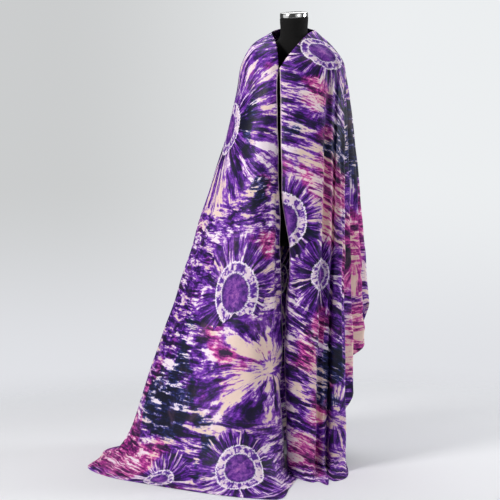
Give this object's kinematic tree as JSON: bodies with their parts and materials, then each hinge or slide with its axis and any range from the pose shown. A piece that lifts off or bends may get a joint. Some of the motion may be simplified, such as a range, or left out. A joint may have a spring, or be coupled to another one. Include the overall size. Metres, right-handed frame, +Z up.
{
  "type": "draped adire cloth on dress form",
  "caption": "Resist-dyed adire cloth hung like a cloak on a dress form, open in front, one side drawn out on the floor as a train, the other in upright folds.",
  "frame": {"origin": "centre of the base plate's underside, on the floor under the form's upright", "axes": "+Z up along the upright, +X to the viewer's right, +Y away from the viewer; the form's front is turned 18 degrees from -Y towards -X"},
  "size_m": [1.0286, 0.9615, 1.6385],
  "materials": {
    "cloth": "satin weave, resist-dyed in purple, violet, navy, magenta and cream",
    "form_cover": "matt black jersey",
    "cap_metal": "polished",
    "stand_metal": "satin"
  },
  "bodies": {
    "root": {"adire_cloth": "cloth", "dress_form": "form_cover", "neck_cap": "cap_metal", "form_pole": "stand_metal", "form_base": "stand_metal"}
  },
  "joints": []
}
